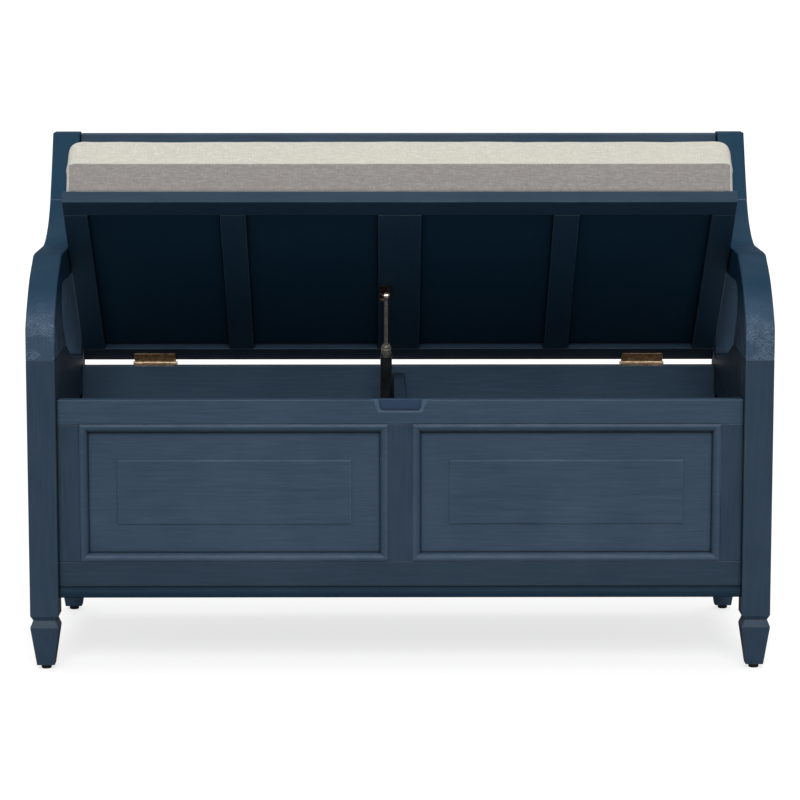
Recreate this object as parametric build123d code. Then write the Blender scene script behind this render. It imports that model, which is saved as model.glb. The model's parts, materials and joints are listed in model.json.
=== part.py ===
from build123d import *
import math
import os

# Storage bench, millimetres, +Z up, front towards -Y, resting on Z = 0.
# Depths are measured from the front faces of the front legs and shifted to the centre when written.

# ---- driving dimensions ----
WIDTH = 1080.0
DEPTH = 456.0
HEIGHT = 761.0
POST = 42.0
EDGE = 2.5                      # rounding of the posts' long edges

GLIDE_H = 6.5
GLIDE_R = 7.5
FOOT_TIP = 26.0                 # foot width at its lower end
FOOT_TOP = 62.0                 # the taper starts here
NOTCH_LOW = 64.0
NOTCH_MID = 74.0
NOTCH_TOP = 81.0
NOTCH_IN = 4.0
ARM_SEAM = 457.0                # front legs end and arms begin

FACE_SET = 14.0                 # front boards sit this far behind the leg fronts
BOARD = 20.0
BOX_BASE = 107.0
RIM = 397.5                     # top of the front rail
TOP_RAIL_H = 35.5
BOTTOM_RAIL_TOP = 159.5
BASE_MOULD_H = 15.0
END_STILE = 32.0
CENTRE_STILE = 35.0
PANEL_SET = 8.0                 # panels sit this far behind the rails
PANEL_T = 6.0
FIELD_IN = 54.0                 # raised field, measured from the panel's edge
FIELD_H = 1.4
BEAD_W = 12.0
BEAD_H = 10.0

PULL_TOP = 82.0                 # finger pull: its mouth at the rim, and at its foot
PULL_LOW = 67.0
PULL_H = 18.0
PULL_WALL_TOP = 61.0            # and its flat wall, further in
PULL_WALL_LOW = 57.0
PULL_WALL_H = 16.5
PULL_DEEP = 9.0
PULL_CORNER = 6.0

BACK_FACE = 400.0               # inner face of the back of the box
BACK_RIM = 396.0
BACK_RAIL_H = 56.0
FLOOR_Z = 122.0
FLOOR_T = 9.0
CLEAT = 14.0
DIVIDER_T = 16.0
DIVIDER_TOP = 383.0

SIDE_T = 26.0
SIDE_RAIL_LOW = 352.0
SIDE_RAIL_REAR = 412.0          # top of the side rail at the rear leg
WINDOW_FRONT = 172.0            # the side rail starts to fall here
ARM_TOP = 600.0
ARM_UNDER = 556.0
ARM_REAR = 366.0                # glue line between arm and rear leg
ARM_EDGE = 2.5

REST_FACE = 430.0               # front face of the backrest
REST_T = 22.0
REST_LOW = 576.0
REST_TOP = 759.0
REST_RAIL_H = 42.0
REST_STILE = 40.0

OPEN_ANGLE = 41.0               # the lid stands open by this much
HINGE_D = 426.0
HINGE_Z = 397.75
LID_W = 992.0
LID_FRONT = 2.0
LID_REAR = 420.0
LID_LOW = 399.5
LID_T = 20.0
LID_FRONT_RAIL = 33.0
LID_REAR_RAIL = 31.0
LID_END = 35.0
LID_MID = 38.0
LID_CENTRE = 64.0
LID_SET = 10.0                  # panels sit this far above the lid's lower face

LEAF_X = 384.0                  # hinge centres, each side of the middle
LEAF_LEN = 65.0
LEAF_T = 1.5
LEAF_FRONT = 402.0
LEAF_BACK = 422.0
BARREL_R = 3.2
PIN_R = 1.6
RUNNING = 0.05
KNUCKLES = 5
KNUCKLE_GAP = 0.3
SCREW_HEAD_R = 3.0
SCREW_R = 1.5
SCREW_LEN = 13.0

STRUT_X = -20.0
UPPER_U = 202.0                 # upper strut pivot, from the hinge axis along the lid
UPPER_N = -12.0                 # and below the hinge axis level when shut
LOWER_D = 380.0
LOWER_Z = 302.0
ROD_R = 3.0
ROD_SHOW = 92.0                 # rod from its pivot to the collar when the lid is open
COLLAR_L = 17.0
COLLAR_R = 6.5
CYL_R = 9.0
CYL_WALL = 1.8
CYL_L = 129.0
PIVOT_R = 2.2
LOWER_EYE_R = 5.2               # loose eye: the linkage is open here
PIN_SHIFT_D = 0.9               # the pin stands in the middle of the loose eye's small loop
PIN_SHIFT_Z = 2.1
EYE_T = 6.0
PLATE_T = 2.5

CUSHION_W = 988.0
CUSHION_BACK = 366.0            # rear edge of the cushion when shut
CUSHION_T = 104.0
CUSHION_GAP = 0.3

HALF = WIDTH / 2
INNER = HALF - POST             # inner faces of the posts
FRONT_BACK = FACE_SET + BOARD
REAR_POST = DEPTH - POST
SIDES = (("left", -1), ("right", 1))


# ---- helpers ----
def block(x0, x1, d0, d1, z0, z1):
    return Pos((x0 + x1) / 2, (d0 + d1) / 2, (z0 + z1) / 2) * Box(x1 - x0, d1 - d0, z1 - z0)


def eased(solid, radius=0.8):
    """A board with all its edges lightly rounded."""
    return fillet(solid.edges(), radius)


def side_board(outline, x0, x1, radius=0.0):
    """An outline in depth and height, made into a board from x0 to x1."""
    face = Plane.YZ * make_face(outline)
    board = Pos(x0, 0, 0) * extrude(face, x1 - x0, dir=(1, 0, 0))
    if radius:
        rims = board.edges().group_by(Axis.X)
        board = fillet(rims[0] + rims[-1], radius)
    return board


def rod_between(x, start, end, radius):
    """A cylinder at one x, between two points given as depth and height."""
    a = Vector(x, start[0], start[1])
    b = Vector(x, end[0], end[1])
    return Plane(origin=a, z_dir=b - a) * Cylinder(
        radius, (b - a).length, align=(Align.CENTER, Align.CENTER, Align.MIN)
    )


def x_cylinder(x0, x1, d, z, radius):
    return Pos((x0 + x1) / 2, d, z) * Rot(0, 90, 0) * Cylinder(radius, x1 - x0)


def opened(shape):
    """Turns a lid piece from the shut place to the open one."""
    hinge = Pos(0, HINGE_D, HINGE_Z)
    return hinge * Rot(-OPEN_ANGLE, 0, 0) * hinge.inverse() * shape


def lid_point(u, n, angle):
    """Depth and height of a point u along the lid and n above the hinge, with the lid open by angle."""
    a = math.radians(angle)
    return (
        HINGE_D - u * math.cos(a) + n * math.sin(a),
        HINGE_Z + u * math.sin(a) + n * math.cos(a),
    )


def along(start, end, distance):
    span = math.dist(start, end)
    t = distance / span
    return (start[0] + (end[0] - start[0]) * t, start[1] + (end[1] - start[1]) * t)


nodes = {}


def put(name, *solids):
    nodes[name] = [s for item in solids for s in item.solids()]


# ---- legs, arms and glides ----
def section(x, d, z, size, edge=EDGE):
    return Pos(x, d, z) * RectangleRounded(size, size, edge)


def foot(x, d):
    """Foot below the notch, and the notch itself, for a post centred on x and d."""
    levels = [
        (GLIDE_H, FOOT_TIP),
        (FOOT_TOP, POST),
        (NOTCH_LOW, POST),
        (NOTCH_MID, POST - 2 * NOTCH_IN),
        (NOTCH_TOP, POST),
    ]
    body = None
    for (z0, w0), (z1, w1) in zip(levels, levels[1:]):
        piece = loft([section(x, d, z0, w0), section(x, d, z1, w1)], ruled=True)
        body = piece if body is None else body + piece
    return body


def post_shaft(x, d, top):
    return extrude(section(x, d, NOTCH_TOP, POST), top - NOTCH_TOP)


def front_leg(side):
    x = side * (HALF - POST / 2)
    return foot(x, POST / 2) + post_shaft(x, POST / 2, ARM_SEAM)


def rear_outline():
    """Upper part of the rear leg: it widens forwards to meet the arm and narrows to its top."""
    top_front = (425, HEIGHT)
    seam_top = (ARM_REAR, 661)
    seam_low = (ARM_REAR, 577)
    return [
        Line((REAR_POST, 420), (DEPTH, 420)),
        Line((DEPTH, 420), (DEPTH, HEIGHT)),
        Line((DEPTH, HEIGHT), top_front),
        ThreePointArc(top_front, (399, 714), seam_top),
        Line(seam_top, seam_low),
        ThreePointArc(seam_low, (400, 549), (REAR_POST, 495)),
        Line((REAR_POST, 495), (REAR_POST, 420)),
    ]


def rear_leg(side):
    x = side * (HALF - POST / 2)
    d = DEPTH - POST / 2
    lower = foot(x, d) + post_shaft(x, d, 430)
    upper = side_board(rear_outline(), x - POST / 2, x + POST / 2, EDGE)
    return lower + upper


def arm_outline():
    """Arm board: round shoulder over the front leg, flat top, sweep up towards the rear leg."""
    shoulder = [(0, 493), (8, 514), (36, 545), (76, 576), (110, 593), (150, ARM_TOP)]
    sweep = [(245, ARM_TOP), (289, 607), (326, 624), (ARM_REAR, 661)]
    under = [(ARM_REAR, 577), (270, ARM_UNDER + 1), (160, ARM_UNDER)]
    nose = (140, ARM_UNDER)
    throat = (121, 510)
    foot_point = (WINDOW_FRONT, ARM_SEAM)
    return [
        Line((0, ARM_SEAM), shoulder[0]),
        Spline(shoulder, tangents=[(0, 1), (1, 0)]),
        Line(shoulder[-1], sweep[0]),
        Spline(sweep, tangents=[(1, 0), (0.75, 1)]),
        Line(sweep[-1], under[0]),
        Spline(under, tangents=[(-1, -0.25), (-1, 0)]),
        Line(under[-1], nose),
        ThreePointArc(nose, (118, 541), throat),
        Spline([throat, (145, 480), foot_point], tangents=[(0.4, -1), (1, -0.6)]),
        Line(foot_point, (0, ARM_SEAM)),
    ]


def arm(side):
    x = side * (HALF - POST / 2)
    return side_board(arm_outline(), x - POST / 2, x + POST / 2, ARM_EDGE)


for name, side in SIDES:
    put(f"front_leg_{name}", front_leg(side))
    put(f"rear_leg_{name}", rear_leg(side))
    put(f"arm_{name}", arm(side))

glide_places = [(side * (HALF - POST / 2), d) for _, side in SIDES for d in (POST / 2, DEPTH - POST / 2)]
put("foot_glides", *[
    chamfer(
        (Pos(x, d, GLIDE_H / 2) * Cylinder(GLIDE_R, GLIDE_H)).edges().group_by(Axis.Z)[0], 1.0
    )
    for x, d in glide_places
])


# ---- framed panels ----
def fielded_panel(x0, x1, z0, z1, face, thick, out=-1):
    """A panel in the XZ plane with a raised field; out is -1 when it looks to the front."""
    back = face - out * thick
    panel = block(x0, x1, min(face, back), max(face, back), z0, z1)
    inset = min(FIELD_IN, (z1 - z0) * 0.28)
    top = face + out * FIELD_H
    field = block(x0 + inset, x1 - inset, min(face, top), max(face, top), z0 + inset, z1 - inset)
    rim = field.faces().sort_by(Axis.Y)[0 if out < 0 else -1].edges()
    return panel + chamfer(rim, FIELD_H * 0.7)


def bead_frame(x0, x1, z0, z1, face, out=-1, width=BEAD_W, height=BEAD_H):
    """Mitred bead in the XZ plane, inside the given opening, standing on the panel's face."""
    start = Plane(origin=((x0 + x1) / 2, face, z0), x_dir=(0, 0, 1), z_dir=(1, 0, 0))
    h = -out * height
    profile = [
        Line((0, 0), (width, 0)),
        Line((width, 0), (width, h * 0.22)),
        Spline([(width, h * 0.22), (width * 0.62, h * 0.9), (width * 0.3, h)], tangents=[(-0.1, h / 10), (-1, 0)]),
        Line((width * 0.3, h), (0, h * 0.86)),
        Line((0, h * 0.86), (0, 0)),
    ]
    bottom = start * make_face(profile)
    mid = ((x0 + x1) / 2, face, z0)
    route = Wire.make_polygon(
        [mid, (x1, face, z0), (x1, face, z1), (x0, face, z1), (x0, face, z0), mid], close=False
    )
    return sweep(bottom, path=route, transition=Transition.RIGHT)


# ---- front ----
left_in = -INNER + END_STILE
centre_half = CENTRE_STILE / 2
rail_low = RIM - TOP_RAIL_H
panel_face = FACE_SET + PANEL_SET


def pull_face(depth, top_w, low_w, height):
    outline = Polyline(
        (-top_w / 2, RIM + 1), (top_w / 2, RIM + 1), (low_w / 2, RIM - height), (-low_w / 2, RIM - height), close=True
    )
    face = make_face(outline)
    face = fillet(face.vertices().group_by(Axis.Y)[0], PULL_CORNER)
    return Pos(0, depth, 0) * (Plane.XZ * face)


pull = loft([
    pull_face(FACE_SET - 0.5, PULL_TOP, PULL_LOW, PULL_H),
    pull_face(FACE_SET + PULL_DEEP, PULL_WALL_TOP, PULL_WALL_LOW, PULL_WALL_H),
], ruled=True)
put("front_top_rail", eased(block(-INNER, INNER, FACE_SET, FRONT_BACK, rail_low, RIM)) - pull)
put("front_bottom_rail", eased(block(-INNER, INNER, FACE_SET, FRONT_BACK, BOX_BASE, BOTTOM_RAIL_TOP)))
stiles = {
    "left": (-INNER, left_in),
    "centre": (-centre_half, centre_half),
    "right": (-left_in, INNER),
}
for name, (x0, x1) in stiles.items():
    put(f"front_stile_{name}", eased(block(x0, x1, FACE_SET, FRONT_BACK, BOTTOM_RAIL_TOP, rail_low)))
fields = {"left": (left_in, -centre_half), "right": (centre_half, -left_in)}
for name, (x0, x1) in fields.items():
    put(f"front_panel_{name}", fielded_panel(x0, x1, BOTTOM_RAIL_TOP, rail_low, panel_face, PANEL_T))
put("front_mouldings", *[
    bead_frame(x0, x1, BOTTOM_RAIL_TOP, rail_low, panel_face) for x0, x1 in fields.values()
])


def base_outline():
    """Section of the base moulding: depth behind the board's face, and height."""
    return [
        Line((0, 0), (0, BASE_MOULD_H)),
        Line((0, BASE_MOULD_H), (-2.0, BASE_MOULD_H)),
        ThreePointArc((-2.0, BASE_MOULD_H), (-3.4, BASE_MOULD_H - 5), (-6.0, BASE_MOULD_H - 8)),
        Line((-6.0, BASE_MOULD_H - 8), (-6.0, 1.0)),
        Line((-6.0, 1.0), (-5.0, 0)),
        Line((-5.0, 0), (0, 0)),
    ]


base_strip = side_board(base_outline(), -INNER, INNER)
front_base = Pos(0, FACE_SET, BOX_BASE) * base_strip
side_run = REAR_POST - POST
side_strip = side_board(base_outline(), -side_run / 2, side_run / 2)
side_face = INNER + SIDE_T      # outer face of the side boards
side_bases = [
    Pos(side * side_face, (POST + REAR_POST) / 2, BOX_BASE) * Rot(0, 0, side * 90) * side_strip
    for _, side in SIDES
]
put("base_mouldings", front_base, *side_bases)


# ---- sides ----
def side_rail_outline():
    return [
        Line((POST, SIDE_RAIL_LOW), (POST, ARM_SEAM)),
        Line((POST, ARM_SEAM), (WINDOW_FRONT, ARM_SEAM)),
        ThreePointArc((WINDOW_FRONT, ARM_SEAM), (282, 426), (REAR_POST, SIDE_RAIL_REAR)),
        Line((REAR_POST, SIDE_RAIL_REAR), (REAR_POST, SIDE_RAIL_LOW)),
        Line((REAR_POST, SIDE_RAIL_LOW), (POST, SIDE_RAIL_LOW)),
    ]


side_mouldings = []
for name, side in SIDES:
    x0, x1 = sorted((side * INNER, side * side_face))
    put(f"side_top_rail_{name}", side_board(side_rail_outline(), x0, x1, 0.8))
    put(f"side_bottom_rail_{name}", eased(block(x0, x1, POST, REAR_POST, BOX_BASE, BOTTOM_RAIL_TOP)))
    turn = Rot(0, 0, side * 90)
    run = side_run / 2
    place = Pos(side * side_face, (POST + REAR_POST) / 2, 0) * turn
    panel = fielded_panel(-run, run, BOTTOM_RAIL_TOP, SIDE_RAIL_LOW, PANEL_SET, PANEL_T)
    put(f"side_panel_{name}", place * panel)
    side_mouldings.append(place * bead_frame(-run, run, BOTTOM_RAIL_TOP, SIDE_RAIL_LOW, PANEL_SET))
put("side_mouldings", *side_mouldings)

# ---- back, floor and divider ----
back_out = BACK_FACE + BOARD
back_low = BACK_RIM - BACK_RAIL_H
back_rail = eased(block(-INNER, INNER, BACK_FACE, back_out, back_low, BACK_RIM))
put("back_bottom_rail", eased(block(-INNER, INNER, BACK_FACE, back_out, BOX_BASE, BOTTOM_RAIL_TOP)))
put("back_stiles", *[
    eased(block(x0, x1, BACK_FACE, back_out, BOTTOM_RAIL_TOP, back_low)) for x0, x1 in stiles.values()
])
put("back_panels", *[
    fielded_panel(x0, x1, BOTTOM_RAIL_TOP, back_low, back_out - PANEL_SET, PANEL_T, out=1)
    for x0, x1 in fields.values()
])
put("bottom_panel", block(-INNER, INNER, FRONT_BACK, BACK_FACE, FLOOR_Z, FLOOR_Z + FLOOR_T))
cleat_z = (FLOOR_Z - CLEAT, FLOOR_Z)
put(
    "bottom_cleats",
    block(-INNER + CLEAT, INNER - CLEAT, FRONT_BACK, FRONT_BACK + CLEAT, *cleat_z),
    block(-INNER + CLEAT, INNER - CLEAT, BACK_FACE - CLEAT, BACK_FACE, *cleat_z),
    block(-INNER, -INNER + CLEAT, POST, BACK_FACE - 2, *cleat_z),
    block(INNER - CLEAT, INNER, POST, BACK_FACE - 2, *cleat_z),
)
divider = eased(block(-DIVIDER_T / 2, DIVIDER_T / 2, FRONT_BACK, BACK_FACE, FLOOR_Z + FLOOR_T, DIVIDER_TOP))

# ---- backrest ----
rest_back = REST_FACE + REST_T
rest_rails = {
    "crest_rail": (REST_TOP - REST_RAIL_H, REST_TOP),
    "backrest_lower_rail": (REST_LOW, REST_LOW + REST_RAIL_H),
}
for name, (z0, z1) in rest_rails.items():
    put(name, eased(block(-INNER, INNER, REST_FACE, rest_back, z0, z1), 2.0))
rest_opening = (REST_LOW + REST_RAIL_H, REST_TOP - REST_RAIL_H)
rest_in = -INNER + REST_STILE
rest_half = REST_STILE / 2
put("backrest_stiles", *[
    eased(block(x0, x1, REST_FACE, rest_back, *rest_opening))
    for x0, x1 in ((-INNER, rest_in), (-rest_half, rest_half), (-rest_in, INNER))
])
rest_fields = ((rest_in, -rest_half), (rest_half, -rest_in))
rest_panel_face = REST_FACE + PANEL_SET
put("backrest_panels", *[
    fielded_panel(x0, x1, *rest_opening, rest_panel_face, PANEL_T) for x0, x1 in rest_fields
])
put("backrest_mouldings", *[
    bead_frame(x0, x1, *rest_opening, rest_panel_face, width=9.0, height=9.0) for x0, x1 in rest_fields
])


# ---- lid, drawn shut and then opened ----
lid_half = LID_W / 2
lid_z = (LID_LOW, LID_LOW + LID_T)
lid_in = (LID_FRONT + LID_FRONT_RAIL, LID_REAR - LID_REAR_RAIL)
bay = (LID_W - 2 * LID_END - 2 * LID_MID - LID_CENTRE) / 4
mid_in = LID_CENTRE / 2 + bay
mid_out = mid_in + LID_MID
lid_rear = eased(block(-lid_half, lid_half, lid_in[1], LID_REAR, *lid_z), 1.0)
lid_front = eased(block(-lid_half, lid_half, LID_FRONT, lid_in[0], *lid_z), 1.5)
end_stiles = [
    eased(block(x0, x1, *lid_in, *lid_z), 1.0)
    for x0, x1 in ((-lid_half, -lid_half + LID_END), (lid_half - LID_END, lid_half))
]
mid_stiles = [
    eased(block(x0, x1, *lid_in, *lid_z), 1.0) for x0, x1 in ((-mid_out, -mid_in), (mid_in, mid_out))
]
centre_stile = eased(block(-LID_CENTRE / 2, LID_CENTRE / 2, *lid_in, *lid_z), 1.0)
lid_bays = [
    (-lid_half + LID_END, -mid_out),
    (-mid_in, -LID_CENTRE / 2),
    (LID_CENTRE / 2, mid_in),
    (mid_out, lid_half - LID_END),
]
lid_panels = [block(x0, x1, *lid_in, LID_LOW + LID_SET, LID_LOW + LID_T) for x0, x1 in lid_bays]


# ---- hinges ----
def screw(x, d, z, up):
    """Countersunk screw whose head face is at z and whose shank runs up or down."""
    head = Cone(SCREW_HEAD_R, SCREW_R, LEAF_T, align=(Align.CENTER, Align.CENTER, Align.MIN))
    shank = Cylinder(SCREW_R, SCREW_LEN, align=(Align.CENTER, Align.CENTER, Align.MIN))
    slot = Box(2 * SCREW_HEAD_R, 0.8, 0.8) + Box(0.8, 2 * SCREW_HEAD_R, 0.8)
    piece = head + Pos(0, 0, LEAF_T) * shank - slot
    return Pos(x, d, z) * Rot(0 if up else 180, 0, 0) * piece


def screw_rows(z, up):
    places = [side * LEAF_X + step * LEAF_LEN / 3 for _, side in SIDES for step in (-1, 0, 1)]
    return [screw(x, (LEAF_FRONT + LEAF_BACK) / 2 - 1, z, up) for x in places]


def leaf(cx, z0, own):
    """One hinge leaf lying at z0, with barrel knuckles at the places listed in own."""
    z1 = z0 + LEAF_T
    piece = block(cx - LEAF_LEN / 2, cx + LEAF_LEN / 2, LEAF_FRONT, LEAF_BACK, z0, z1)
    corners = piece.edges().filter_by(Axis.Z).group_by(Axis.Y)[0]
    piece = fillet(corners, 3.0)
    step = LEAF_LEN / KNUCKLES
    for k in own:
        x0 = cx - LEAF_LEN / 2 + k * step + KNUCKLE_GAP / 2
        x1 = x0 + step - KNUCKLE_GAP
        piece += block(x0, x1, LEAF_BACK - 0.5, HINGE_D - 1.8, z0, z1)
        piece += x_cylinder(x0, x1, HINGE_D, HINGE_Z, BARREL_R)
    bore = x_cylinder(cx - LEAF_LEN, cx + LEAF_LEN, HINGE_D, HINGE_Z, PIN_R + RUNNING)
    return piece - bore


def hinge_pin(cx):
    length = LEAF_LEN / 2 + 1.0
    pin = x_cylinder(cx - length, cx + length, HINGE_D, HINGE_Z, PIN_R)
    for side in (-1, 1):
        tip = cx + side * (length + 0.5)
        pin += x_cylinder(tip - 0.7, tip + 0.7, HINGE_D, HINGE_Z, BARREL_R - 0.4)
    return pin


rail_leaf_z = BACK_RIM
lid_leaf_z = LID_LOW - LEAF_T
rail_screws = screw_rows(rail_leaf_z + LEAF_T, up=False)
lid_screws = screw_rows(lid_leaf_z, up=True)
for name, side in SIDES:
    rail_leaf = leaf(side * LEAF_X, rail_leaf_z, (0, 2, 4))
    lid_leaf = leaf(side * LEAF_X, lid_leaf_z, (1, 3))
    for item in rail_screws:
        rail_leaf -= item
    for item in lid_screws:
        lid_leaf -= item
    put(f"hinge_rail_leaf_{name}", rail_leaf)
    put(f"hinge_lid_leaf_{name}", opened(lid_leaf))
put("hinge_pins", *[hinge_pin(side * LEAF_X) for _, side in SIDES])
put("hinge_rail_screws", *rail_screws)
put("hinge_lid_screws", *[opened(item) for item in lid_screws])
for item in rail_screws:
    back_rail -= item
for item in lid_screws:
    lid_rear -= item
put("back_top_rail", back_rail)

# ---- gas strut, drawn with the lid open ----
upper = lid_point(UPPER_U, UPPER_N, OPEN_ANGLE)
lower = (LOWER_D, LOWER_Z)
upper_shut = lid_point(UPPER_U, UPPER_N, 0)
open_length = math.dist(upper, lower)
shut_length = math.dist(upper_shut, lower)


def strut_bar(t0, t1, radius):
    """A round bar of the strut between two distances from its upper pivot."""
    return rod_between(STRUT_X, along(upper, lower, t0), along(upper, lower, t1), radius)


def eye(centre, outer, hole):
    x0 = STRUT_X - EYE_T / 2
    x1 = STRUT_X + EYE_T / 2
    ring = x_cylinder(x0, x1, *centre, outer)
    return ring, x_cylinder(x0 - 1, x1 + 1, *centre, hole)


gland_end = ROD_SHOW + COLLAR_L
tube_end = gland_end + CYL_L
ring, hole = eye(upper, 5.5, PIVOT_R + RUNNING)
rod = ring + strut_bar(3, gland_end + 16, ROD_R) + strut_bar(gland_end + 9, gland_end + 16, CYL_R - CYL_WALL - 0.4)
put("strut_rod", rod - hole)
collar = strut_bar(ROD_SHOW, gland_end, COLLAR_R) + strut_bar(ROD_SHOW + 4, gland_end - 4, COLLAR_R + 1.2)
put("strut_collar", collar - strut_bar(ROD_SHOW - 1, gland_end + 1, ROD_R + RUNNING))
ring, hole = eye(lower, 9.0, LOWER_EYE_R)
tube = strut_bar(gland_end, tube_end, CYL_R) - strut_bar(gland_end + 6, tube_end - 5, CYL_R - CYL_WALL)
tube -= strut_bar(gland_end - 1, gland_end + 7, ROD_R + RUNNING)
tube += ring - (strut_bar(gland_end, tube_end - 1, CYL_R))
tube += strut_bar(tube_end - 1, open_length - 7.5, 4.5)
put("strut_cylinder", tube - hole)

# Lower bracket: a plate on the divider with a shouldered pin.
face_x = -DIVIDER_T / 2
pin_tip = STRUT_X - EYE_T / 2 - 1.5
pin_d = LOWER_D + PIN_SHIFT_D
pin_z = LOWER_Z + PIN_SHIFT_Z
plate = block(face_x - PLATE_T, face_x, pin_d - 12, pin_d + 12, pin_z - 20, pin_z + 20)
plate = fillet(plate.edges().filter_by(Axis.X), 5.0)
plate += x_cylinder(pin_tip, face_x - 2, pin_d, pin_z, PIVOT_R)
plate += x_cylinder(pin_tip - 2.0, pin_tip, pin_d, pin_z, LOWER_EYE_R + 2.3)
lower_screws = []
for rise in (-13.5, 13.5):
    item = Pos(face_x - PLATE_T, pin_d, pin_z + rise) * Rot(0, 90, 0) * (
        Cone(SCREW_HEAD_R, SCREW_R, 1.5, align=(Align.CENTER, Align.CENTER, Align.MIN))
        + Cylinder(SCREW_R, 10.0, align=(Align.CENTER, Align.CENTER, Align.MIN))
    )
    lower_screws.append(item)
    plate -= item
    divider -= item
put("strut_lower_bracket", plate)
put("strut_lower_screws", *lower_screws)
put("divider", divider)

# Upper bracket: a plate under the lid's centre stile with one ear and the pivot pin, drawn shut.
pivot_d, pivot_z = upper_shut
ear_x = STRUT_X + EYE_T / 2 + 0.6
plate = block(ear_x - 14, ear_x + 2, pivot_d - 8, pivot_d + 34, LID_LOW - 2, LID_LOW)
plate = fillet(plate.edges().filter_by(Axis.Z), 4.0)
ear = block(ear_x, ear_x + 2, pivot_d - 7, pivot_d + 7, pivot_z, LID_LOW - 1) + x_cylinder(
    ear_x, ear_x + 2, pivot_d, pivot_z, 7
)
pin = x_cylinder(STRUT_X - EYE_T / 2 - 1.2, ear_x + 1, pivot_d, pivot_z, PIVOT_R)
pin += x_cylinder(STRUT_X - EYE_T / 2 - 2.7, STRUT_X - EYE_T / 2 - 0.7, pivot_d, pivot_z, 3.8)
plate += ear + pin
upper_screws = []
for step in (12, 26):
    item = screw(ear_x - 10, pivot_d + step, LID_LOW - 2, up=True)
    upper_screws.append(item)
    plate -= item
    centre_stile -= item
put("strut_upper_bracket", opened(plate))
put("strut_upper_screws", *[opened(item) for item in upper_screws])
put("lid_centre_stile", opened(centre_stile))
put("lid_front_rail", opened(lid_front))
put("lid_rear_rail", opened(lid_rear))
put("lid_end_stiles", *[opened(item) for item in end_stiles])
put("lid_mid_stiles", *[opened(item) for item in mid_stiles])
put("lid_panels", *[opened(item) for item in lid_panels])


# ---- cushion ----
def cushion():
    low = LID_LOW + LID_T + CUSHION_GAP
    profile = Polyline(
        (LID_FRONT, low), (CUSHION_BACK, low), (CUSHION_BACK, low + CUSHION_T), (LID_FRONT, low + CUSHION_T), close=True
    )
    pad = side_board(profile, -CUSHION_W / 2, CUSHION_W / 2)
    long_edges = pad.edges().filter_by(Axis.X)
    top_front, top_rear = long_edges.group_by(Axis.Z)[-1].sort_by(Axis.Y)
    pad = fillet(top_rear, 38.0)
    pad = fillet(pad.edges().filter_by(Axis.X).group_by(Axis.Z)[-1].sort_by(Axis.Y)[0], 28.0)
    pad = fillet(pad.edges().filter_by(Axis.X).group_by(Axis.Z)[0], 12.0)
    rims = pad.edges().group_by(Axis.X)
    return fillet(rims[0] + rims[-1], 11.0)


put("cushion", opened(cushion()))

# ---- write the parts ----
os.makedirs("parts", exist_ok=True)
centre = Pos(0, -DEPTH / 2, 0)
for name, solids in nodes.items():
    placed = [centre * s for s in solids]
    shape = placed[0] if len(placed) == 1 else Compound(children=placed)
    export_step(shape, f"parts/{name}.step")
print("nodes", len(nodes))
print("strut open", round(open_length, 2), "shut", round(shut_length, 2))
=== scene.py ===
import json
import math

import bpy
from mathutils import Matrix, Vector, noise


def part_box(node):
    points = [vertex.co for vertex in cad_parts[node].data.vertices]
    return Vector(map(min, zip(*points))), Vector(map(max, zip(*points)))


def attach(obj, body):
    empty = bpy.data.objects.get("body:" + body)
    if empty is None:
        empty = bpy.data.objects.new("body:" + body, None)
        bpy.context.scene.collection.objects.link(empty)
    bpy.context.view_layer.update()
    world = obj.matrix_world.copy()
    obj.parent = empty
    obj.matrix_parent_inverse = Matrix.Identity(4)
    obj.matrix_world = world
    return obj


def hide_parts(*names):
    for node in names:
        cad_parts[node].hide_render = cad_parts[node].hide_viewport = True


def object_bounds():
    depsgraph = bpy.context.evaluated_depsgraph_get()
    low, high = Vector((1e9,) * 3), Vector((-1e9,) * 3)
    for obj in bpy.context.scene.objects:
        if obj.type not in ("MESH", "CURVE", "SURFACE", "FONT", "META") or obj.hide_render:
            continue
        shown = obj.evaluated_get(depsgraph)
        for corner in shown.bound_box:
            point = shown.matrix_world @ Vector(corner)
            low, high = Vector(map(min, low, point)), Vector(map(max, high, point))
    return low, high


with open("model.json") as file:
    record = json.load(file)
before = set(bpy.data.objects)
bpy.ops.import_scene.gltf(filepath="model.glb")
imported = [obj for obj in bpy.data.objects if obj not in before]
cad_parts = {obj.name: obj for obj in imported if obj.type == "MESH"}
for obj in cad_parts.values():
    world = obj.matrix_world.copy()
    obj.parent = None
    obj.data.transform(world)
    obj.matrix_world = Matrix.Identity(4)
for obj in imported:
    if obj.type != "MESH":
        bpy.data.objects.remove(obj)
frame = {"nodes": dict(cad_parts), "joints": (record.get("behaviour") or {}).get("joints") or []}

cad_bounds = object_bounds()

# ---- places worked out from the frame, in metres ----
HINGE = next(j for j in frame["joints"] if j["name"] == "lid_hinge")
OPEN = math.radians(-HINGE["range_deg"][0])         # the lid stands open by this much at rest
PIVOT = Vector(HINGE["pos_m"])
ALONG_LID = Vector((0, -math.cos(OPEN), math.sin(OPEN)))     # from the hinge to the lid's front edge
OFF_LID = Vector((0, math.sin(OPEN), math.cos(OPEN)))        # square to the lid, towards the cushion
FRONT_Y = cad_bounds[0].y
POST_X = sum(corner.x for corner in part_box("front_leg_right")) / 2


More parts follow.
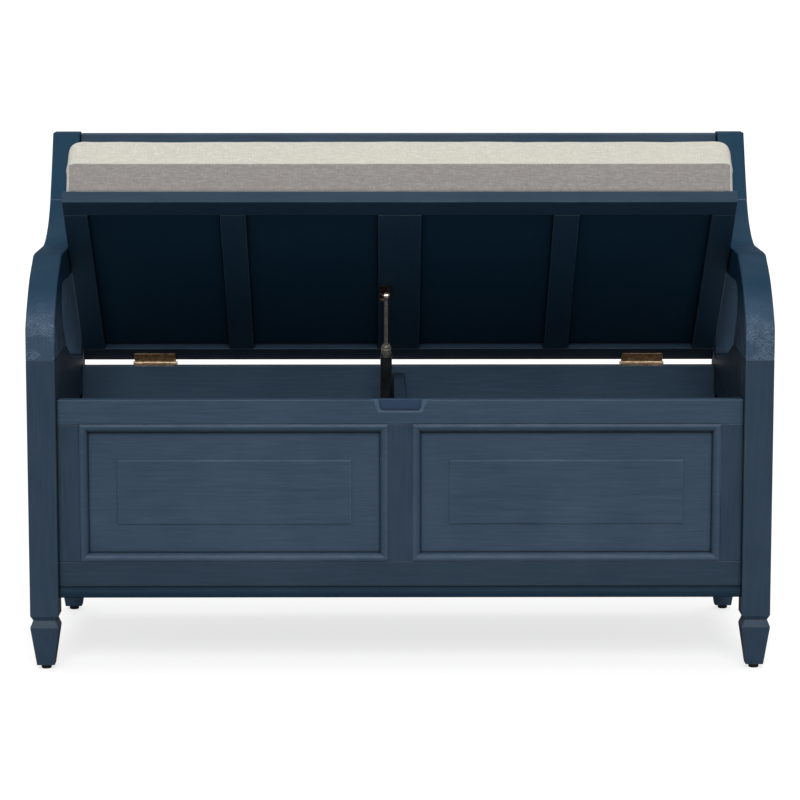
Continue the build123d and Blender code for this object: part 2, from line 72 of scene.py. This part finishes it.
# ---- material helpers ----
class Graph:
    """A material's node tree, with short calls for adding nodes and links."""

    def __init__(self, name):
        self.material = bpy.data.materials.new(name)
        self.material.use_nodes = True
        self.nodes = self.material.node_tree.nodes
        self.links = self.material.node_tree.links
        self.shader = self.nodes["Principled BSDF"]
        self.object = self.add("ShaderNodeTexCoord").outputs["Object"]

    def add(self, kind, inputs=(), **settings):
        node = self.nodes.new(kind)
        for key, value in settings.items():
            setattr(node, key, value)
        for key, value in dict(inputs).items():
            self.feed(node.inputs[key], value)
        return node

    def feed(self, socket, value):
        if isinstance(value, bpy.types.NodeSocket):
            self.links.new(value, socket)
        else:
            socket.default_value = value

    def mapped(self, scale, vector=None):
        inputs = {"Vector": vector or self.object, "Scale": scale}
        return self.add("ShaderNodeMapping", inputs).outputs["Vector"]

    def noise(self, vector, scale, detail=4.0, rough=0.55, distort=0.0):
        return self.add(
            "ShaderNodeTexNoise",
            {"Vector": vector, "Scale": scale, "Detail": detail, "Roughness": rough, "Distortion": distort},
        ).outputs["Fac"]

    def math(self, operation, a, b=0.0):
        node = self.add("ShaderNodeMath", operation=operation)
        self.feed(node.inputs[0], a)
        self.feed(node.inputs[1], b)
        return node.outputs[0]

    def range(self, value, low, high, to_low=0.0, to_high=1.0):
        return self.add(
            "ShaderNodeMapRange",
            {"Value": value, "From Min": low, "From Max": high, "To Min": to_low, "To Max": to_high},
        ).outputs["Result"]

    def mix(self, factor, a, b, blend="MIX"):
        node = self.add("ShaderNodeMix", data_type="RGBA", blend_type=blend)
        self.feed(node.inputs["Factor"], factor)
        self.feed(node.inputs["A"], a)
        self.feed(node.inputs["B"], b)
        return node.outputs["Result"]

    def split(self, vector):
        return self.add("ShaderNodeSeparateXYZ", {"Vector": vector}).outputs

    def turned(self, vector, angle, centre=(0.0, 0.0, 0.0)):
        return self.add("ShaderNodeVectorRotate", {"Vector": vector, "Center": centre, "Angle": angle},
                        rotation_type="X_AXIS").outputs["Vector"]

    def openness(self, distance):
        """How open a surface is within the distance: 1 in the open, falling to 0 in a crevice."""
        return self.add("ShaderNodeAmbientOcclusion", {"Distance": distance}, samples=6).outputs["AO"]

    def bump(self, height, strength, distance, normal=None):
        inputs = {"Height": height, "Strength": strength, "Distance": distance}
        if normal is not None:
            inputs["Normal"] = normal
        return self.add("ShaderNodeBump", inputs).outputs["Normal"]

    def set(self, **sockets):
        for key, value in sockets.items():
            self.feed(self.shader.inputs[key.replace("_", " ")], value)
        return self.material


def shade(r, g, b):
    """A colour given as the eye sees it, from 0 to 255, turned into linear light."""
    return tuple((c / 255) ** 2.2 for c in (r, g, b)) + (1.0,)


# ---- materials ----
SQUEEZE = {"x": (0.05, 1.0, 1.0), "y": (1.0, 0.05, 1.0), "z": (1.0, 1.0, 0.05)}     # stretches the grain
EDGE_REACH = 0.0018             # radius over which an edge is softened, and lightened as worn paint and painted highlight
CREVICE_SHADE = 0.0022                # a gap this near gets near-black painted shade
SHADOW = 0.006                  # a surface this near gets painted shade
PULL_REACH = 0.042              # half the width of the finger pull
PULL_FLOOR = 0.0070             # depth at which the pull's painted shade, a bluer bottom, begins


def swept(g, tone, lift, figure, shade_heights):
    """Pale growth rings lower down, and painted shade higher up: a deeper, bluer paint on the heads."""
    place = g.split(g.object)
    above = g.range(place["Z"], shade_heights[0], shade_heights[1])
    off_centre = g.math("ABSOLUTE", g.math("SUBTRACT", g.math("ABSOLUTE", place["X"]), POST_X))
    peaked = g.math("ADD", place["Z"], g.math("MULTIPLY", off_centre, 0.8))
    peaks = g.add("ShaderNodeCombineXYZ", {"X": place["X"], "Y": place["Y"], "Z": peaked}).outputs[0]
    rings = g.add(
        "ShaderNodeTexWave",
        {"Vector": peaks, "Scale": 75.0, "Distortion": 9.0, "Detail": 4.0, "Detail Scale": 2.4},
        wave_type="BANDS", bands_direction="Z",
    ).outputs["Fac"]
    patch = g.range(g.noise(g.object, 34.0, 3.0), 0.44, 0.6, 0.15, 1.0)
    ringed = g.math("MULTIPLY", g.math("MULTIPLY", rings, patch), figure)
    ringed = g.math("MULTIPLY", g.math("SUBTRACT", 1.0, above), ringed)
    tone = g.mix(ringed, tone, shade(124, 143, 162))
    # Painted shade: past the two heights the paint turns a deeper, bluer tone.
    return g.mix(g.math("MULTIPLY", above, 0.92), tone, shade(26 * lift, 54 * lift, 73 * lift))


def pull_highlight_and_shade(g, tone, face):
    """Painted highlight on the finger pull's slopes and painted shade on its bluer bottom, by how far it
    lies behind the rail's face.
    """
    place = g.split(g.object)
    central = g.range(g.math("ABSOLUTE", place["X"]), PULL_REACH + 0.004, PULL_REACH)
    slope_highlight = g.math("MULTIPLY", central, g.range(place["Y"], face + 0.0004, face + 0.0020))
    bottom = g.math("MULTIPLY", central, g.range(place["Y"], face + PULL_FLOOR, face + PULL_FLOOR + 0.0015))
    # Painted highlight on the slopes, then painted shade on the bottom.
    tone = g.mix(g.math("MULTIPLY", slope_highlight, 0.45), tone, shade(104, 126, 150))
    return g.mix(g.math("MULTIPLY", bottom, 0.9), tone, shade(44, 63, 88))


def navy_paint(name, along, turn=0.0, lift=1.0, figure=0.0, shade_heights=None, teal=0.0, wear_and_highlight=1.0, shaded_pull_face=None,
               shine=0.2):
    """Satin navy paint over brushed wood whose grain runs along one axis.

    The turn lays the grain along a tilted piece, and the lift scales every tone. The figure is how
    strongly pale growth rings show, and two heights may be given between which the paint turns from its
    full tone to a deeper, bluer one, painted shade on the heads. The teal is a share of greener paint, and
    deep with a low lift it is painted shade on the lid and the base mouldings. A share sets how far the
    edges are lightened, as worn paint and painted highlight. The face of the finger pull is given as its y;
    the pull gets a painted highlight on its slopes and painted shade on its bottom. Every tone also darkens
    near other surfaces and in crevices: painted shade.
    """
    g = Graph(name)
    place = g.turned(g.object, turn, PIVOT)
    grain_space = g.mapped(SQUEEZE[along], place)
    fine = g.noise(grain_space, 1100.0, 5.0, 0.65)
    streak = g.noise(grain_space, 330.0, 4.0, 0.6, 0.1)
    cloud = g.noise(g.object, 7.0, 3.0)
    smear = g.noise(g.mapped(tuple(s ** 0.5 for s in SQUEEZE[along]), place), 26.0, 3.0, 0.55)
    pores = g.range(fine, 0.60, 0.78)
    dark = shade(53 * lift, 70 * lift, 88 * lift)
    light = shade(63 * lift, 81 * lift, 100 * lift)
    tone = g.mix(g.range(streak, 0.3, 0.7), dark, light)
    tone = g.mix(g.range(smear, 0.36, 0.72, 0.0, 0.3), tone, shade(50 * lift, 71 * lift, 91 * lift))
    tone = g.mix(g.range(cloud, 0.4, 0.7, 0.0, 0.2), tone, shade(80 * lift, 98 * lift, 117 * lift))
    tone = g.mix(g.math("MULTIPLY", pores, 0.32), tone, shade(32 * lift, 46 * lift, 62 * lift))
    if shade_heights:
        tone = swept(g, tone, lift, figure, shade_heights)
    if shaded_pull_face is not None:
        tone = pull_highlight_and_shade(g, tone, shaded_pull_face)
    if teal:
        tone = g.mix(teal, tone, shade(10 * lift, 74 * lift, 104 * lift))
    soft = g.add("ShaderNodeBevel", {"Radius": EDGE_REACH}, samples=4).outputs["Normal"]
    facing = g.add("ShaderNodeVectorMath", operation="DOT_PRODUCT")
    g.feed(facing.inputs[0], soft)
    g.feed(facing.inputs[1], g.add("ShaderNodeNewGeometry").outputs["Normal"])
    edge = g.range(facing.outputs["Value"], 0.999, 0.93)
    # Painted shade: each tone darkens near other surfaces and turns near black in crevices.
    shadow = shade(16 * lift, 27 * lift, 39 * lift)
    tone = g.mix(g.range(g.openness(SHADOW), 0.9, 0.4, 0.0, 0.75), tone, shadow)
    tone = g.mix(g.range(g.openness(CREVICE_SHADE), 0.94, 0.6, 0.0, 0.95), tone, shade(5, 14, 22))
    # Edges lightened: partly worn paint, partly painted highlight.
    worn_and_highlit = g.math("MULTIPLY", edge, g.range(cloud, 0.4, 0.6, 0.2 * wear_and_highlight, 0.5 * wear_and_highlight))
    tone = g.mix(worn_and_highlit, tone, shade(112, 130, 148))
    height = g.math("ADD", g.math("MULTIPLY", fine, 0.5), g.math("MULTIPLY", streak, 0.5))
    rough = g.range(g.noise(g.object, 38.0, 3.0), 0.3, 0.7, 0.44, 0.58)
    rough = g.math("ADD", rough, g.math("MULTIPLY", pores, 0.12))
    normal = g.bump(height, 0.16, 0.0005, soft)
    return g.set(Base_Color=tone, Roughness=rough, Normal=normal, Coat_Weight=0.15 * shine,
                 Coat_Roughness=0.45, Specular_IOR_Level=shine)


def antique_brass(name, lift):
    """Brass under an uneven brown patina, with fine scratches along the bench."""
    g = Graph(name)
    patches = g.noise(g.object, 160.0, 4.0, 0.6)
    scratch = g.noise(g.mapped((0.05, 1.0, 1.0)), 2600.0, 3.0)
    tone = g.mix(g.range(patches, 0.35, 0.65), shade(116 * lift, 101 * lift, 83 * lift),
                 shade(184 * lift, 163 * lift, 136 * lift))
    tone = g.mix(g.range(scratch, 0.62, 0.75, 0.0, 0.35), tone, shade(206 * lift, 182 * lift, 142 * lift))
    rough = g.range(patches, 0.3, 0.7, 0.28, 0.46)
    return g.set(Base_Color=tone, Metallic=0.7, Roughness=rough, Normal=g.bump(scratch, 0.15, 0.0002))


def strut_black():
    g = Graph("strut_black")
    speck = g.noise(g.object, 1500.0, 2.0)
    smear = g.noise(g.object, 45.0, 3.0)
    tone = g.mix(g.range(smear, 0.35, 0.7), shade(30, 32, 33), shade(54, 56, 57))
    rough = g.range(smear, 0.3, 0.7, 0.26, 0.42)
    return g.set(Base_Color=tone, Roughness=rough, Normal=g.bump(speck, 0.12, 0.0002), Coat_Weight=0.3,
                 Coat_Roughness=0.2)


def strut_steel():
    g = Graph("strut_steel")
    turn = g.noise(g.object, 900.0, 3.0)
    stain = g.noise(g.object, 70.0, 3.0)
    tone = g.mix(g.range(stain, 0.4, 0.7), shade(214, 206, 192), shade(176, 164, 146))
    rough = g.range(turn, 0.3, 0.7, 0.16, 0.3)
    return g.set(Base_Color=tone, Metallic=0.75, Roughness=rough, Normal=g.bump(turn, 0.06, 0.0002))


def glide_plastic():
    g = Graph("glide_plastic")
    fine = g.noise(g.object, 900.0, 4.0)
    tone = g.mix(fine, shade(24, 24, 25), shade(46, 46, 47))
    rough = g.range(fine, 0.3, 0.7, 0.5, 0.7)
    return g.set(Base_Color=tone, Roughness=rough, Normal=g.bump(fine, 0.3, 0.0004))


THREAD = 1.15e-3                # spacing of the linen's threads
WANDER = 0.0016                 # how far a thread strays


def weave(g, a, b):
    """Height of a plain weave whose threads run along coordinates a and b, in threads."""
    over = g.math("SINE", g.math("MULTIPLY", a, math.pi))
    under = g.math("SINE", g.math("MULTIPLY", b, math.pi))
    crossing = g.math("GREATER_THAN", g.math("MULTIPLY", over, under), 0.0)
    warp = g.math("MULTIPLY", crossing, g.math("ABSOLUTE", over))
    weft = g.math("MULTIPLY", g.math("SUBTRACT", 1.0, crossing), g.math("ABSOLUTE", under))
    return g.math("ADD", warp, weft)


def linen_cloth(name, pale, deep, fleck_and_thread_shade, warm):
    """Linen in a plain weave with uneven threads, told apart on top, front and end faces."""
    g = Graph(name)
    flat = g.turned(g.object, OPEN, PIVOT)
    wander = g.add("ShaderNodeTexNoise", {"Vector": flat, "Scale": 60.0, "Detail": 2.0}).outputs["Color"]
    shift = g.add("ShaderNodeVectorMath", operation="MULTIPLY_ADD")
    g.feed(shift.inputs[0], wander)
    g.feed(shift.inputs[1], (WANDER, WANDER, WANDER))
    g.feed(shift.inputs[2], flat)
    place = g.split(shift.outputs["Vector"])
    x, u, n = (g.math("DIVIDE", place[k], THREAD) for k in "XYZ")
    way = g.split(g.turned(g.nodes["Texture Coordinate"].outputs["Normal"], OPEN))
    on_top = g.math("GREATER_THAN", g.math("ABSOLUTE", way["Z"]), 0.7)
    on_end = g.math("GREATER_THAN", g.math("ABSOLUTE", way["X"]), 0.72)
    down = g.add("ShaderNodeMix", data_type="FLOAT")
    g.feed(down.inputs["Factor"], on_top)
    g.feed(down.inputs["A"], n)
    g.feed(down.inputs["B"], u)
    across = g.add("ShaderNodeMix", data_type="FLOAT")
    g.feed(across.inputs["Factor"], on_end)
    g.feed(across.inputs["A"], x)
    g.feed(across.inputs["B"], u)
    cloth = weave(g, across.outputs["Result"], down.outputs["Result"])
    slub_x = g.noise(g.mapped((0.16, 1.0, 1.0), flat), 520.0, 3.0, 0.6)
    slub_u = g.noise(g.mapped((1.0, 0.16, 0.16), flat), 520.0, 3.0, 0.6)
    flecks = g.noise(flat, 420.0, 3.0, 0.7)
    cloud = g.noise(flat, 9.0, 3.0)
    tone = g.mix(g.range(slub_x, 0.36, 0.64), deep, pale)
    tone = g.mix(g.range(slub_u, 0.42, 0.64, 0.0, 0.75), tone, deep)
    tone = g.mix(g.range(flecks, 0.56, 0.72, 0.0, 0.5), tone, fleck_and_thread_shade)
    # Painted shade between the threads: the weave's low parts turn darker.
    tone = g.mix(g.range(cloth, 0.1, 0.55, 0.4, 0.0), tone, fleck_and_thread_shade)
    tone = g.mix(g.range(cloud, 0.35, 0.7, 0.0, 0.2), tone, warm)
    height = g.math("ADD", cloth, g.math("MULTIPLY", slub_x, 0.9))
    height = g.math("ADD", height, g.math("MULTIPLY", slub_u, 0.7))
    return g.set(Base_Color=tone, Roughness=0.92, Normal=g.bump(height, 0.55, 0.0007), Sheen_Weight=0.25,
                 Sheen_Roughness=0.5, Specular_IOR_Level=0.2)


def dress(names, material):
    for name in names:
        node = frame["nodes"][name]
        node.data.materials.clear()
        node.data.materials.append(material)


def nodes_like(*words):
    return [n for n in frame["nodes"] if any(w in n for w in words)]


MATERIAL = {
    "along_x": navy_paint("navy_paint_x", "x"),
    # The finger pull's paint carries a painted highlight and painted shade.
    "pull": navy_paint("navy_paint_pull_lit_and_shaded", "x", shaded_pull_face=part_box("front_top_rail")[0].y),
    "along_x_back": navy_paint("navy_paint_x_back", "x", teal=0.06),
    "along_x_deep": navy_paint("navy_paint_x_deep", "x", lift=0.82, teal=0.08),
    # The base mouldings' deeper, tealer paint is painted shade under the bottom rail.
    "base": navy_paint("navy_paint_base", "x", lift=0.66, teal=0.35, wear_and_highlight=0.0, shine=0.06),
    "along_y": navy_paint("navy_paint_y", "y", lift=0.88, teal=0.08),
    "along_z": navy_paint("navy_paint_z", "z", lift=0.86, teal=0.08),
    # The arms and rear legs get painted shade on their heads, a deeper, bluer tone.
    "arms": navy_paint("navy_paint_arm", "z", lift=1.04, figure=0.5, shade_heights=(0.50, 0.56), shine=0.06),
    "rear_legs": navy_paint("navy_paint_rear_leg", "z", lift=1.1, shade_heights=(0.56, 0.66), shine=0.06),
    # The lid's deeper, tealer paint is painted shade on the open lid; the field is darker still as its own
    # stain.
    "lid_x": navy_paint("navy_paint_lid_x", "x", turn=OPEN, lift=0.77, teal=0.3),
    "lid_y": navy_paint("navy_paint_lid_y", "y", turn=OPEN, lift=0.78, teal=0.4),
    "lid_field": navy_paint("navy_paint_lid_field", "x", turn=OPEN, lift=0.72, teal=0.65),
    "brass": antique_brass("antique_brass", 1.12),
    "bronze": antique_brass("dark_bronze", 0.42),
    "black": strut_black(),
    "steel": strut_steel(),
    "glide": glide_plastic(),
    "linen": linen_cloth("linen_cloth", shade(232, 231, 220), shade(211, 208, 195), shade(176, 168, 152),
                         shade(224, 216, 194)),
    # A greyer copy of the linen for the long sides' band below the seam: painted shade.
    "linen_band_shaded": linen_cloth("linen_band_shaded", shade(173, 169, 165), shade(147, 142, 139),
                              shade(122, 116, 111), shade(154, 146, 140)),
}

for piece in frame["nodes"]:
    dress([piece], MATERIAL["along_x"])
dress(nodes_like("leg", "front_stile", "back_stiles", "backrest_stiles"), MATERIAL["along_z"])
dress(nodes_like("side_", "divider"), MATERIAL["along_y"])
dress(nodes_like("bottom_rail", "back_top_rail"), MATERIAL["along_x_deep"])
dress(["base_mouldings"], MATERIAL["base"])
dress(["front_top_rail"], MATERIAL["pull"])
dress(["back_top_rail"], MATERIAL["along_x_back"])
dress(nodes_like("arm_"), MATERIAL["arms"])
dress(nodes_like("rear_leg"), MATERIAL["rear_legs"])
dress(nodes_like("lid_front_rail", "lid_rear_rail"), MATERIAL["lid_x"])
dress(["lid_panels"], MATERIAL["lid_field"])
dress(nodes_like("lid_end", "lid_mid", "lid_centre"), MATERIAL["lid_y"])
dress(nodes_like("hinge", "screws"), MATERIAL["brass"])
dress(nodes_like("bracket"), MATERIAL["bronze"])
dress(["strut_cylinder"], MATERIAL["black"])
dress(["strut_rod", "strut_collar"], MATERIAL["steel"])
dress(["foot_glides"], MATERIAL["glide"])


# ---- cushion ----
CELL = 0.0075                   # size of the cloth's mesh
BOXING = 0.047                  # height of the side band below the seam
CORNER = 0.016                  # plan radius of the cushion's corners
LEAN = 0.006                    # how far the band leans out, from the lid to the seam
END_LEAN = 0.0012               # the same at the ends
TUCK = 0.001                    # how far the underside is drawn in
SHOULDER = 0.030                # depth of the long sides' shoulder, if it began upright
END_SHOULDER = 0.012            # radius of the shoulder at the ends
SQUARE = 5                      # power of the ends' shoulder; the higher, the squarer
SEAM_TURN = math.radians(35)    # where along its curve the long sides' shoulder begins
CROWN = 0.004                   # extra height in the middle
PROUD = 0.002                   # how far the cloth stands above the solid it replaces
PUFF_CAP = 0.002                # furthest a point may move in the simulation
SIM_FRAMES = 20                 # length of the simulation
GROOVE = 0.0012                 # depth of the seam
RIPPLE = 0.0009                 # height of the cloth's unevenness
HALF_REACH = 0.4972             # half the length at most, to pass between the arms when the lid is shut


def lid_space(point):
    """x, distance from the hinge along the lid, and height off the lid plane through the hinge."""
    away = point - PIVOT
    return Vector((point.x, away.dot(ALONG_LID), away.dot(OFF_LID)))


def from_lid_space(p):
    return Vector((p.x, PIVOT.y, PIVOT.z)) + ALONG_LID * p.y + OFF_LID * p.z


def cushion_box():
    points = [lid_space(v.co) for v in frame["nodes"]["cushion"].data.vertices]
    low = Vector(min(p[k] for p in points) for k in range(3))
    high = Vector(max(p[k] for p in points) for k in range(3))
    return low, high


def shell_grid(counts):
    """Quads over the six sides of a block, as whole-number points and faces that share them."""
    index = {}
    points = []
    faces = []

    def point(key):
        if key not in index:
            index[key] = len(points)
            points.append(key)
        return index[key]

    for axis in range(3):
        a, b = (axis + 1) % 3, (axis + 2) % 3
        for side in (0, counts[axis]):
            for i in range(counts[a]):
                for j in range(counts[b]):
                    loop = []
                    for di, dj in ((0, 0), (1, 0), (1, 1), (0, 1)):
                        key = [0, 0, 0]
                        key[axis] = side
                        key[a] = i + di
                        key[b] = j + dj
                        loop.append(point(tuple(key)))
                    faces.append(loop if side else loop[::-1])
    return points, faces


def round_corner(x, u, half_x, half_u, radius):
    """Moves a point of a rectangle so that the rectangle's corners become round."""
    qx = abs(x) - (half_x - radius)
    qu = abs(u) - (half_u - radius)
    if qx <= 0 or qu <= 0:
        return x, u
    shrink = max(qx, qu) / math.hypot(qx, qu)
    return math.copysign(half_x - radius + qx * shrink, x), math.copysign(half_u - radius + qu * shrink, u)


def cushion_mesh():
    """The cushion before it is puffed: a leaning band, a seam, a steep round shoulder and a crowned top."""
    low, high = cushion_box()
    half_x = (high.x - low.x) / 2
    half_u = (high.y - low.y) / 2
    middle = (low + high) / 2
    rise = high.z - low.z - BOXING + PROUD
    rows_box = round(BOXING / CELL)
    rows_top = round(rise * 1.25 / CELL)
    counts = (round(2 * half_x / CELL), round(2 * half_u / CELL), rows_box + rows_top)
    keys, faces = shell_grid(counts)
    first = math.sin(SEAM_TURN)
    verts = []
    for i, j, k in keys:
        if k <= rows_box:
            out = math.sin(math.pi / 2 * k / rows_box)
            inset_x, inset_u = TUCK - END_LEAN * out, TUCK - LEAN * out
            height = BOXING * k / rows_box
        else:
            turn = SEAM_TURN + (math.pi / 2 - SEAM_TURN) * (k - rows_box) / rows_top
            part = (math.sin(turn) - first) / (1 - first)
            height = BOXING + rise * part
            inset_u = TUCK - LEAN + SHOULDER * (math.cos(SEAM_TURN) - math.cos(turn))
            inset_x = TUCK - END_LEAN + END_SHOULDER * (1 - (1 - part ** SQUARE) ** (1 / SQUARE))
        x = (2 * i / counts[0] - 1) * (half_x - inset_x)
        u = (2 * j / counts[1] - 1) * (half_u - inset_u)
        x, u = round_corner(x, u, half_x - inset_x, half_u - inset_u, CORNER + inset_x)
        if k == counts[2]:
            height += CROWN * (1 - (x / half_x) ** 4) * (1 - (u / half_u) ** 4)
        verts.append(from_lid_space(Vector((middle.x + x, middle.y + u, low.z + height))))
    mesh = bpy.data.meshes.new("seat_cushion")
    mesh.from_pydata(verts, [], faces)
    return mesh, keys, rows_box, counts, low


def puff(piece, pinned):
    """Blows the cushion up as cloth, holding its underside, and keeps the result within the cap."""
    start = [v.co.copy() for v in piece.data.vertices]
    group = piece.vertex_groups.new(name="held")
    group.add(pinned, 1.0, "REPLACE")
    cloth = piece.modifiers.new("Cloth", "CLOTH")
    cloth.settings.quality = 5
    cloth.settings.mass = 0.3
    cloth.settings.tension_stiffness = 18
    cloth.settings.compression_stiffness = 18
    cloth.settings.shear_stiffness = 6
    cloth.settings.bending_stiffness = 1.2
    cloth.settings.use_pressure = True
    cloth.settings.uniform_pressure_force = 4.0
    cloth.settings.vertex_group_mass = "held"
    cloth.settings.effector_weights.gravity = 0.0
    scene = bpy.context.scene
    for number in range(1, SIM_FRAMES + 1):
        scene.frame_set(number)
    shaped = piece.evaluated_get(bpy.context.evaluated_depsgraph_get())
    moved = [v.co.copy() for v in shaped.data.vertices]
    piece.modifiers.remove(cloth)
    piece.vertex_groups.remove(group)
    scene.frame_set(1)
    for vertex, old, new in zip(piece.data.vertices, start, moved):
        step = new - old
        if step.length > PUFF_CAP:
            step *= PUFF_CAP / step.length
        vertex.co = old + step


def cushion():
    mesh, keys, rows_box, counts, low = cushion_mesh()
    piece = bpy.data.objects.new("seat_cushion", mesh)
    bpy.context.scene.collection.objects.link(piece)
    puff(piece, [n for n, key in enumerate(keys) if key[2] == 0])
    mesh.update()

    def on_side(key):
        return key[0] in (0, counts[0]) or key[1] in (0, counts[1])

    normals = [v.normal.copy() for v in mesh.vertices]
    for vertex, key, normal in zip(mesh.vertices, keys, normals):
        if on_side(key) and key[2] == rows_box:
            vertex.co -= normal * GROOVE
        ripple = noise.noise(vertex.co * 14.0) + 0.5 * noise.noise(vertex.co * 41.0)
        if 0 < key[2] != rows_box:
            vertex.co += normal * ripple * RIPPLE
        local = lid_space(vertex.co)
        if local.z < low.z:
            vertex.co += OFF_LID * (low.z - local.z)
        vertex.co.x = max(-HALF_REACH, min(HALF_REACH, vertex.co.x))
    mesh.materials.append(MATERIAL["linen"])
    mesh.materials.append(MATERIAL["linen_band_shaded"])
    for face in mesh.polygons:
        ends = [keys[n] for n in face.vertices]
        face.use_smooth = True
        # The long sides' band takes the greyer linen: painted shade below the seam.
        in_band = all(e[2] <= rows_box for e in ends)
        long_side = all(e[1] == 0 for e in ends) or all(e[1] == counts[1] for e in ends)
        face.material_index = 1 if in_band and long_side else 0
    crease = mesh.attributes.new("crease_edge", "FLOAT", "EDGE")
    for edge in mesh.edges:
        ends = [keys[n] for n in edge.vertices]
        if all(e[2] == rows_box and on_side(e) for e in ends):
            crease.data[edge.index].value = 0.7
    smooth = piece.modifiers.new("Subdivision", "SUBSURF")
    smooth.levels = 1
    smooth.render_levels = 1
    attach(piece, "lid")
    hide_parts("cushion")


cushion()


# ---- floor, lights and camera ----
FLOOR_REACH = 150.0


def floor():
    """A pale floor, whiter to the camera than to the light that it sends back."""
    mesh = bpy.data.meshes.new("floor")
    corners = ((-1, -1), (1, -1), (1, 1), (-1, 1))
    mesh.from_pydata([(x * FLOOR_REACH, y * FLOOR_REACH, 0) for x, y in corners], [], [(0, 1, 2, 3)])
    plane = bpy.data.objects.new("floor", mesh)
    bpy.context.scene.collection.objects.link(plane)
    g = Graph("studio_floor")
    seen = g.add("ShaderNodeLightPath").outputs["Is Camera Ray"]
    tone = g.mix(seen, (0.42, 0.42, 0.42, 1.0), (0.36, 0.36, 0.36, 1.0))
    g.set(Base_Color=tone, Roughness=1.0, Specular_IOR_Level=0.0, Emission_Color=(1.0, 1.0, 1.0, 1.0),
          Emission_Strength=g.math("MULTIPLY", seen, 0.75))
    mesh.materials.append(g.material)


def soft_sun(name, strength, azimuth, elevation, size):
    """A broad, even light from far away; azimuth 0 comes from the front, 90 from the right."""
    light = bpy.data.lights.new(name, "SUN")
    light.energy = strength
    light.angle = math.radians(size)
    lamp = bpy.data.objects.new(name, light)
    bpy.context.scene.collection.objects.link(lamp)
    a, e = math.radians(azimuth), math.radians(elevation)
    toward = Vector((math.sin(a) * math.cos(e), -math.cos(a) * math.cos(e), math.sin(e)))
    lamp.rotation_euler = toward.to_track_quat("Z", "Y").to_euler()


def studio():
    """A dim even sky that the camera sees as plain white, and two broad suns."""
    world = bpy.data.worlds.new("studio")
    bpy.context.scene.world = world
    world.use_nodes = True
    nodes = world.node_tree.nodes
    sky = nodes["Background"]
    sky.inputs["Color"].default_value = (0.97, 0.98, 1.0, 1.0)
    sky.inputs["Strength"].default_value = 0.28
    backdrop = nodes.new("ShaderNodeBackground")
    backdrop.inputs["Color"].default_value = (1.0, 1.0, 1.0, 1.0)
    backdrop.inputs["Strength"].default_value = 1.0
    either = nodes.new("ShaderNodeMixShader")
    links = world.node_tree.links
    links.new(nodes.new("ShaderNodeLightPath").outputs["Is Camera Ray"], either.inputs[0])
    links.new(sky.outputs[0], either.inputs[1])
    links.new(backdrop.outputs[0], either.inputs[2])
    links.new(either.outputs[0], nodes["World Output"].inputs["Surface"])
    soft_sun("overhead", 1.15, 175, 76, 50)
    soft_sun("key", 1.95, 0, 40, 30)
    bpy.context.scene.view_settings.view_transform = "Standard"


def camera():
    """Long lens a little above the bench, looking slightly down at it."""
    data = bpy.data.cameras.new("camera")
    data.sensor_width = 36.0
    data.lens = 138.6
    data.clip_end = 400.0
    eye = bpy.data.objects.new("camera", data)
    bpy.context.scene.collection.objects.link(eye)
    eye.location = (-0.029, FRONT_Y - 4.4015, 1.0337)
    eye.rotation_euler = (math.radians(90 - 8.2), 0, math.radians(-0.37))
    bpy.context.scene.camera = eye


floor()
studio()
camera()
